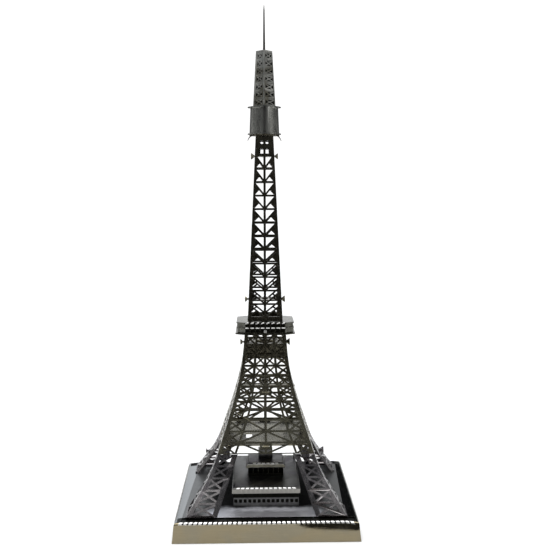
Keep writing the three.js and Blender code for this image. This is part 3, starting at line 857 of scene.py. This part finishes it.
class BuildBase(bpy.types.Operator):
    """Folds the base plate: beads along its folds, a flared skirt and a turned-in hem"""

    bl_idname = "tower.base"
    bl_label = "Base plate"

    def execute(self, context):
        sizes = context.scene.tower_sizes
        low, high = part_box("base_tray")
        mesh = folded_tray(
            half_x=high.x - sizes.flare,
            half_y=high.y - sizes.flare,
            top=high.z,
            drop=high.z - low.z,
            fold=sizes.fold,
            flare=sizes.flare,
            hem=sizes.hem,
            pitch=sizes.bead,
            gap=sizes.bead_gap,
            bulge=0.04 * MM,
            inner=0.2 * MM,
            # The rim strip inside the front and back folds takes the groove's near-black
            # steel: painted shade
            rim_shade=GROOVE_STEEL,
            side_fold=BORDER_STEEL,
        )
        top = high.z
        border = high.x - sizes.flare - sizes.border
        groove_out = high.y - sizes.flare - sizes.fold - LIP
        groove_in = groove_out - sizes.groove
        for side, slant in SLANTS.items():
            point, across = (side * border, 0, top), (side, -slant, 0)
            cut(mesh, self.plate_faces(mesh, top), point, across)
        for distance in (-groove_out, -groove_in, groove_out, groove_in):
            cut(mesh, self.plate_faces(mesh, top), (0, distance, top), (0, 1, 0))
        self.sink_grooves(mesh, top, groove_in, groove_out)
        for face in self.plate_faces(mesh, top):
            inside = abs(face.calc_center_median().x) < border
            face.material_index = PANEL_STEEL if inside else BORDER_STEEL
        self.crease_skirt(mesh, top - sizes.fold * BELOW_FOLD)
        self.slope_borders(mesh, border, low.z + SKIRT_TOP, sizes.border_slope)
        add_piece(
            "base_plate",
            mesh,
            BASE_STEELS,
            "base_tray",
            thickness=sizes.sheet,
            smooth=28,
        )
        return {"FINISHED"}

    @staticmethod
    def plate_faces(mesh, top):
        """The large flat faces of the plate's top."""
        faces = faces_in_plane(mesh, UP, Vector((0, 0, top)))
        return [face for face in faces if face.calc_area() > (2 * MM) ** 2]

    @classmethod
    def sink_grooves(cls, mesh, top, inner, outer):
        """Presses the bands inside the front and back folds down a little."""
        bands = [
            face
            for face in cls.plate_faces(mesh, top)
            if inner < abs(face.calc_center_median().y) < outer
        ]
        floors = bmesh.ops.extrude_discrete_faces(mesh, faces=bands)["faces"]
        verts = list({vert for face in floors for vert in face.verts})
        bmesh.ops.translate(mesh, verts=verts, vec=(0, 0, -GROOVE_DEPTH))
        for face in floors:
            face.material_index = GROOVE_STEEL

    @staticmethod
    def crease_skirt(mesh, level):
        """Bends the front skirt out and down under its fold, more and more to the right."""
        for vert in mesh.verts:
            share = min(max((vert.co.x - CREASE_START) / CREASE_RUN, 0.0), 1.0)
            if vert.co.y < 0 and abs(vert.co.z - level) < IN_ROW:
                vert.co += CREASE_DROP * share

    @staticmethod
    def slope_borders(mesh, border, lowest, slope):
        """Lets the strips at the sides fall towards their folds."""
        for vert in mesh.verts:
            side = 1 if vert.co.x > 0 else -1
            beyond = side * vert.co.x - border - SLANTS[side] * vert.co.y
            if beyond > 0 and vert.co.z > lowest:
                vert.co.z -= beyond * slope


# The foot building
ROOF_STEELS = ["hall sheet", "folded edge", "lit fascia sheet"]
LIT_FASCIA_STEEL = 2
UPPER_FASCIA = 0.95 * MM
UPPER_FLARE = 0.5 * MM
FASCIA_SHADOW_BAND = (0.2 * MM, 1.1 * MM)  # heights of the band of painted shadow under the fascia, over the openings


class BuildHalls(bpy.types.Operator):
    """Builds the foot building: openings in its walls, folded roofs and the roof house"""

    bl_idname = "tower.halls"
    bl_label = "Foot buildings"

    def execute(self, context):
        sizes = context.scene.tower_sizes
        self.lower_walls(sizes)
        self.panelled(
            "upper_hall_walls", "upper_walls", "deck sheet", 7,
            least_width=2 * MM, sill=0.35 * MM, head=0.7 * MM,
            rim=0.13 * MM, depth=0.08 * MM, edge=0.02 * MM,
        )
        # The lower roof's front and back skirts take the lighter fascia steel: painted light
        self.roof("hall_roof", "lower_roof", sizes, sizes.fascia, LIT_FASCIA_STEEL)
        # The upper roof's front and back skirts take the near-white bead steel: painted
        # highlight
        self.roof(
            "upper_hall_roof", "upper_roof", sizes, UPPER_FASCIA, FOLDED, UPPER_FLARE
        )
        self.panelled(
            "roof_house", "roof_house_detail", "hall sheet", 5,
            least_width=1 * MM, sill=0.6 * MM, head=0.5 * MM,
            rim=0.12 * MM, depth=0.15 * MM, edge=0.03 * MM,
        )
        return {"FINISHED"}

    @staticmethod
    def roof(node, name, sizes, drop, fascia, flare=0.0):
        """A roof whose edges fold down by drop and stand out by flare."""
        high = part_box(node)[1]
        mesh = folded_tray(
            half_x=high.x - flare / 2,
            half_y=high.y - flare / 2,
            top=high.z,
            drop=drop,
            fold=sizes.small_fold,
            flare=flare,
            hem=0.0,
            pitch=sizes.bead,
            gap=sizes.bead_gap,
            bulge=0.05 * MM,
            inner=0.1 * MM,
            fascia=fascia,
        )
        add_piece(
            name,
            mesh,
            ROOF_STEELS,
            node,
            thickness=sizes.sheet * 0.8,
            smooth=28,
        )

    @staticmethod
    def lower_walls(sizes):
        """Walls with a row of openings under a band of painted shadow from the roof's fascia.
        """
        mesh = copy_of("hall_walls")
        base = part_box("base_tray")[1].z
        openings = [base + sizes.sill, base + sizes.lintel]
        fascia_shadow = [base + sizes.lintel + height for height in FASCIA_SHADOW_BAND]
        for normal, point in outer_walls(mesh, (3 * MM) ** 2):
            start, end = span_of(mesh, normal, point)
            count = round((end - start).length / sizes.bead)
            shares = [i / count for i in range(1, count)]
            wall = grid_wall(mesh, normal, point, shares, openings + fascia_shadow)
            # Painted shadow: the band under the fascia takes the near-black recess steel
            for face in between(wall, *fascia_shadow):
                face.material_index = ETCHED
            bays = between(wall, *openings)
            sink(mesh, bays, normal, 0.19 * MM, 0.16 * MM, rounding=0.12 * MM)
        add_piece(
            "lower_walls",
            mesh,
            ["hall sheet", "etched recess"],
            "hall_walls",
            edge=0.02 * MM,
        )

    @staticmethod
    def panelled(node, name, steel, count, least_width, sill, head, rim, depth, edge):
        """Walls with a row of sunk panels between a sill and a head."""
        mesh = copy_of(node)
        low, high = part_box(node)
        levels = [low.z + sill, high.z - head]
        shares = [i / count for i in range(1, count)]
        for normal, point in outer_walls(mesh, least_width**2):
            wall = grid_wall(mesh, normal, point, shares, levels)
            sink(mesh, between(wall, *levels), normal, rim, depth)
        add_piece(name, mesh, [steel, "etched recess"], node, edge=edge)


class FinishLegs(bpy.types.Operator):
    """Finishes the four folded legs"""

    bl_idname = "tower.legs"
    bl_label = "Legs"

    def execute(self, context):
        for corner in CORNERS:
            keep("leg_" + corner, "leg sheet")
        return {"FINISHED"}


class FinishBody(bpy.types.Operator):
    """Finishes the body's lattice panels and the stiffening plates inside the tower"""

    bl_idname = "tower.body"
    bl_label = "Body panels and inner plates"

    def execute(self, context):
        for side in SIDES:
            keep("body_panel_" + side, "tower sheet")
        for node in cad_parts:
            if node.endswith("_diaphragm"):
                keep(node, "tower sheet")
        return {"FINISHED"}


# The main deck
DECK_STEELS = ["deck sheet", "etched recess", "folded edge", "trim sheet"]
LIT_SIDE_STEEL = 3
DECK_BAY = 1.2 * MM
DECK_EDGE = 0.02 * MM
TAB = 0.7 * MM  # side of the near-white tab low in the deck's front, a painted highlight


class BuildDeck(bpy.types.Operator):
    """Builds the main deck: panelled walls, a near-white tab as a painted highlight, and beads
    on the ledge and roof
    """

    bl_idname = "tower.deck"
    bl_label = "Main deck"

    def execute(self, context):
        sizes = context.scene.tower_sizes
        keep("deck_floor", "deck sheet")
        self.walls("deck_lower_walls", "deck_lower_wall", 0.1 * MM, 0.14 * MM, tab=True)
        self.walls("deck_upper_walls", "deck_upper_wall", 0.08 * MM, 0.16 * MM)
        self.plate("deck_ledge", "deck_ledge_plate", sizes, 0.0, 0.86)
        self.plate("deck_roof", "deck_roof_plate", sizes, 0.35, 0.8)
        return {"FINISHED"}

    @staticmethod
    def walls(node, name, rim, depth, tab=False):
        """Walls round the deck, with sunk bays on the wide ones."""
        mesh = copy_of(node)
        low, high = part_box(node)
        # The side walls take the lighter trim steel, and the front and back walls keep the
        # darker deck steel: painted shade on the front and back
        for normal, point in outer_walls(mesh, (0.5 * MM) ** 2):
            if abs(normal.y) < FRONTAL:
                for face in faces_in_plane(mesh, normal, point):
                    face.material_index = LIT_SIDE_STEEL
        for normal, point in outer_walls(mesh, (0.5 * MM) ** 2):
            start, end = span_of(mesh, normal, point)
            width = (end - start).length
            if width < 4 * MM:
                continue
            count = round(width / DECK_BAY)
            bays = grid_wall(mesh, normal, point, [i / count for i in range(1, count)], [])
            sink(mesh, bays, normal, rim, depth)
        # A tab of the near-white bead steel: a painted highlight
        if tab:
            middle = Vector((0, low.y, low.z + (high.z - low.z) / 4))
            half = Vector((TAB / 2, 0, 0))
            size = (TAB, 0.2 * MM, TAB)
            bead_row(mesh, Vector((0, -1, 0)), middle - half, middle + half, TAB, size)
        add_piece(name, mesh, DECK_STEELS, node, edge=DECK_EDGE)

    @staticmethod
    def plate(node, name, sizes, lean, share):
        """A level plate with beads that fill a share of the front and back edges."""
        mesh = copy_of(node)
        low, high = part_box(node)
        size = (sizes.bead * share, 0.26 * MM, (high.z - low.z) * 0.94)
        edges = [
            (normal, *span_of(mesh, normal, point))
            for normal, point in outer_walls(mesh, (0.4 * MM) ** 2)
            if abs(normal.y) >= FRONTAL
        ]
        for normal, start, end in edges:
            # The front and back edge faces take the near-black recess steel: painted shade in
            # the gaps between the beads
            for face in faces_in_plane(mesh, normal, start):
                face.material_index = ETCHED
            inward = Vector((0, 0, (low.z + high.z) / 2)) - normal * 0.07 * MM
            start = Vector((start.x, start.y, 0)) + inward
            end = Vector((end.x, end.y, 0)) + inward
            if (end - start).length > 1.5 * MM:
                bead_row(mesh, normal, start, end, sizes.bead, size, lean)
        steels = ["trim sheet", "etched recess", "folded edge"]
        add_piece(name, mesh, steels, node, edge=DECK_EDGE)


class FinishShaft(bpy.types.Operator):
    """Finishes the shaft's four lattice panels"""

    bl_idname = "tower.shaft"
    bl_label = "Shaft"

    def execute(self, context):
        for side in SIDES:
            keep("shaft_panel_" + side, "shaft sheet")
        return {"FINISHED"}


class FinishLookout(bpy.types.Operator):
    """Finishes the lookout's bowed shells, its floor and its roof"""

    bl_idname = "tower.lookout"
    bl_label = "Lookout"

    def execute(self, context):
        keep("lookout_floor", "shaft sheet")
        keep("lookout_roof", "satin sheet")
        for corner in CORNERS:
            keep("lookout_shell_" + corner, "shell sheet")
        return {"FINISHED"}


class BuildAntenna(bpy.types.Operator):
    """Etches the crossed bays of the antenna frame, and finishes its cap and mast"""

    bl_idname = "tower.antenna"
    bl_label = "Antenna frame and mast"

    def execute(self, context):
        sizes = context.scene.tower_sizes
        for corner in CORNERS:
            node = "antenna_panel_" + corner
            low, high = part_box(node)
            mesh = copy_of(node)
            shares = [i / sizes.bays for i in range(1, sizes.bays)]
            levels = [low.z + (high.z - low.z) * share for share in shares]
            normal, point = max(
                outer_walls(mesh, (2 * MM) ** 2), key=lambda wall: wall[1].length
            )
            bays = grid_wall(mesh, normal, point, [], levels)
            sink(mesh, bays, normal, 0.26 * MM, sizes.recess, crossed=0.24 * MM)
            add_piece(
                "antenna_side_" + corner,
                mesh,
                ["antenna sheet", "etched recess"],
                node,
                edge=0.02 * MM,
            )
        keep("antenna_cap", "antenna sheet")
        keep("mast", "mast sheet")
        return {"FINISHED"}


# Stage -------------------------------------------------------------------------------------


WHITE = (1, 1, 1, 1)
SKY = (0.9, 0.94, 1.0, 1)

FLOOR_HALF = 4.0
FLOOR_FRONT = 0.14  # how far the floor reaches in front of the tower's middle
FLOOR_DROP = 0.02 * MM

SUN_POWER = 2.8
SUN_WIDTH = math.radians(60)
SUN_LEAN = math.radians(3)
AIM = Vector((0, 0, 0.055))

CAMERA_TURNS = (5.39, 1.386, -0.127)  # degrees down, to the right and over
CAMERA_PLACE = Vector((-2.106, -186.64, 74.31)) * MM
FOCAL_LENGTH = 51.71


def floor_finish(tint):
    material, recipe = new_material("pale paper")
    fibre = recipe.noise((0.6, 0.6, 0.6), detail=3.0)
    recipe.cover(
        {
            "Base Color": recipe.blend(fibre, colour_of(tint), colour_of(tint, 0.985)),
            "Roughness": 0.9,
            "Specular IOR Level": 0.1,
        }
    )
    return material


def studio_air():
    """Soft room light: pale behind the tower, dim in front, and dark high on the right."""
    world = bpy.data.worlds.new("Studio")
    world.use_nodes = True
    recipe = Recipe(world.node_tree)
    side, back, height = recipe.axes("Generated")

    # The room in front, lighter towards the ceiling
    front = recipe.spread(height, 0.1, 0.5, 0.05, 0.3)
    front = front + recipe.spread(height, 0.5, 0.95, 0.0, 0.2)

    # Behind the tower: a bright backdrop between dimmer walls, and above it the sky
    walls = recipe.spread(side, -0.3, 0.7, 0.2, 0.1)
    beyond = recipe.spread(abs(side), 0.4, 0.62)
    backdrop = 1.15 * (1.0 - beyond) + walls * beyond
    sky = recipe.spread(side, -0.12, 0.06, 1.45, 0.8)
    sky = sky * recipe.spread(height, 0.42, 0.62, 1.0, 0.3)
    flag = recipe.spread(side, 0.08, 0.11) * recipe.spread(height, 0.5, 0.65, 1.0, 0.0)
    sky = sky * (1.0 - flag * 0.98)
    above = recipe.spread(height, 0.245, 0.265)
    behind = backdrop * (1.0 - above) + sky * above

    facing = recipe.spread(back, -0.3, 0.75)
    light = front * (1.0 - facing) + behind * facing
    risen = recipe.spread(height, -0.06, 0.0)
    ground = 0.04 + 0.46 * facing
    light = light * risen + ground * (1.0 - risen)
    tint = recipe.blend(recipe.spread(height, 0.25, 0.3), WHITE, SKY)

    # Seen past the tower, the room is plain white
    seen = recipe.node("ShaderNodeLightPath", output="Is Camera Ray")
    tint = recipe.blend(seen, tint, WHITE)
    light = light * (1.0 - seen) + seen * 1.1
    background = recipe.node(
        "ShaderNodeBackground", {}, {"Color": tint, "Strength": light}
    )
    recipe.node("ShaderNodeOutputWorld", {}, {"Surface": background})
    return world


def softbox(name, place, size, power):
    """A soft rectangular light at a place in metres, aimed at the tower."""
    light = bpy.data.lights.new(name, "AREA")
    light.shape = "RECTANGLE"
    light.size, light.size_y = size
    light.energy = power
    lamp = bpy.data.objects.new(name, light)
    bpy.context.scene.collection.objects.link(lamp)
    aim = (AIM - Vector(place)).to_track_quat("-Z", "Y")
    lamp.matrix_world = Matrix.Translation(place) @ aim.to_matrix().to_4x4()
    lamp.visible_camera = False


class SetStage(bpy.types.Operator):
    """Sets the pale floor, the soft light and the camera"""

    bl_idname = "tower.stage"
    bl_label = "Stage"

    def execute(self, context):
        scene = context.scene
        mesh = bmesh.new()
        bmesh.ops.create_grid(mesh, x_segments=8, y_segments=8, size=FLOOR_HALF)
        middle = (0, FLOOR_HALF - FLOOR_FRONT, -FLOOR_DROP)
        bmesh.ops.translate(mesh, verts=mesh.verts, vec=middle)
        data = bpy.data.meshes.new("floor")
        mesh.to_mesh(data)
        mesh.free()
        data.materials.append(floor_finish(scene.tower_colours.floor))
        floor = bpy.data.objects.new("floor", data)
        scene.collection.objects.link(floor)

        scene.world = studio_air()
        overhead = bpy.data.lights.new("overhead", "SUN")
        overhead.energy = SUN_POWER
        overhead.angle = SUN_WIDTH
        lamp = bpy.data.objects.new("overhead", overhead)
        lamp.matrix_world = Matrix.Rotation(SUN_LEAN, 4, "X")
        scene.collection.objects.link(lamp)
        softbox("right strip", (0.5, -0.05, 0.1), (0.06, 0.5), 0.09)
        softbox("left strip", (-0.45, 0.22, 0.1), (0.05, 0.5), 0.07)
        softbox("high front", (-0.1, -0.3, 0.5), (0.25, 0.15), 0.3)

        self.camera(scene)
        scene.view_settings.view_transform = "Standard"
        return {"FINISHED"}

    @staticmethod
    def camera(scene):
        """A long view from the front, a little above the deck and turned to the right."""
        pitch, yaw, roll = (math.radians(angle) for angle in CAMERA_TURNS)
        ahead = Vector(
            (
                math.sin(yaw) * math.cos(pitch),
                math.cos(yaw) * math.cos(pitch),
                -math.sin(pitch),
            )
        )
        right = Vector((math.cos(yaw), -math.sin(yaw), 0))
        up = right.cross(ahead)
        lens = bpy.data.cameras.new("camera")
        lens.sensor_width = 36
        lens.lens = FOCAL_LENGTH
        lens.clip_start = 5 * MM
        lens.clip_end = 20
        camera = bpy.data.objects.new("camera", lens)
        turn = Matrix((right, up, -ahead)).transposed().to_4x4()
        camera.matrix_world = (
            Matrix.Translation(CAMERA_PLACE)
            @ turn
            @ Matrix.Rotation(roll, 4, "Z")
        )
        scene.collection.objects.link(camera)
        scene.camera = camera


class TowerPanel(bpy.types.Panel):
    """Lists the tower's pieces in the order in which they are built"""

    bl_idname = "VIEW3D_PT_tower"
    bl_label = "Lattice tower"
    bl_space_type = "VIEW_3D"
    bl_region_type = "UI"
    bl_category = "Tower"

    def draw(self, context):
        for step in STEPS:
            self.layout.operator(step.bl_idname)
        for group in (context.scene.tower_sizes, context.scene.tower_colours):
            box = self.layout.box()
            for name in group.__annotations__:
                box.prop(group, name)


STEPS = (
    BuildBase,
    BuildHalls,
    FinishLegs,
    FinishBody,
    BuildDeck,
    FinishShaft,
    FinishLookout,
    BuildAntenna,
    SetStage,
)
CLASSES = (TowerSizes, TowerColours, *STEPS, TowerPanel)


def register():
    for cls in CLASSES:
        bpy.utils.register_class(cls)
    bpy.types.Scene.tower_sizes = PointerProperty(type=TowerSizes)
    bpy.types.Scene.tower_colours = PointerProperty(type=TowerColours)


def unregister():
    del bpy.types.Scene.tower_colours
    del bpy.types.Scene.tower_sizes
    for cls in reversed(CLASSES):
        bpy.utils.unregister_class(cls)


def main():
    register()
    for step in STEPS:
        group, name = step.bl_idname.split(".")
        getattr(getattr(bpy.ops, group), name)()


if __name__ == "__main__":
    main()
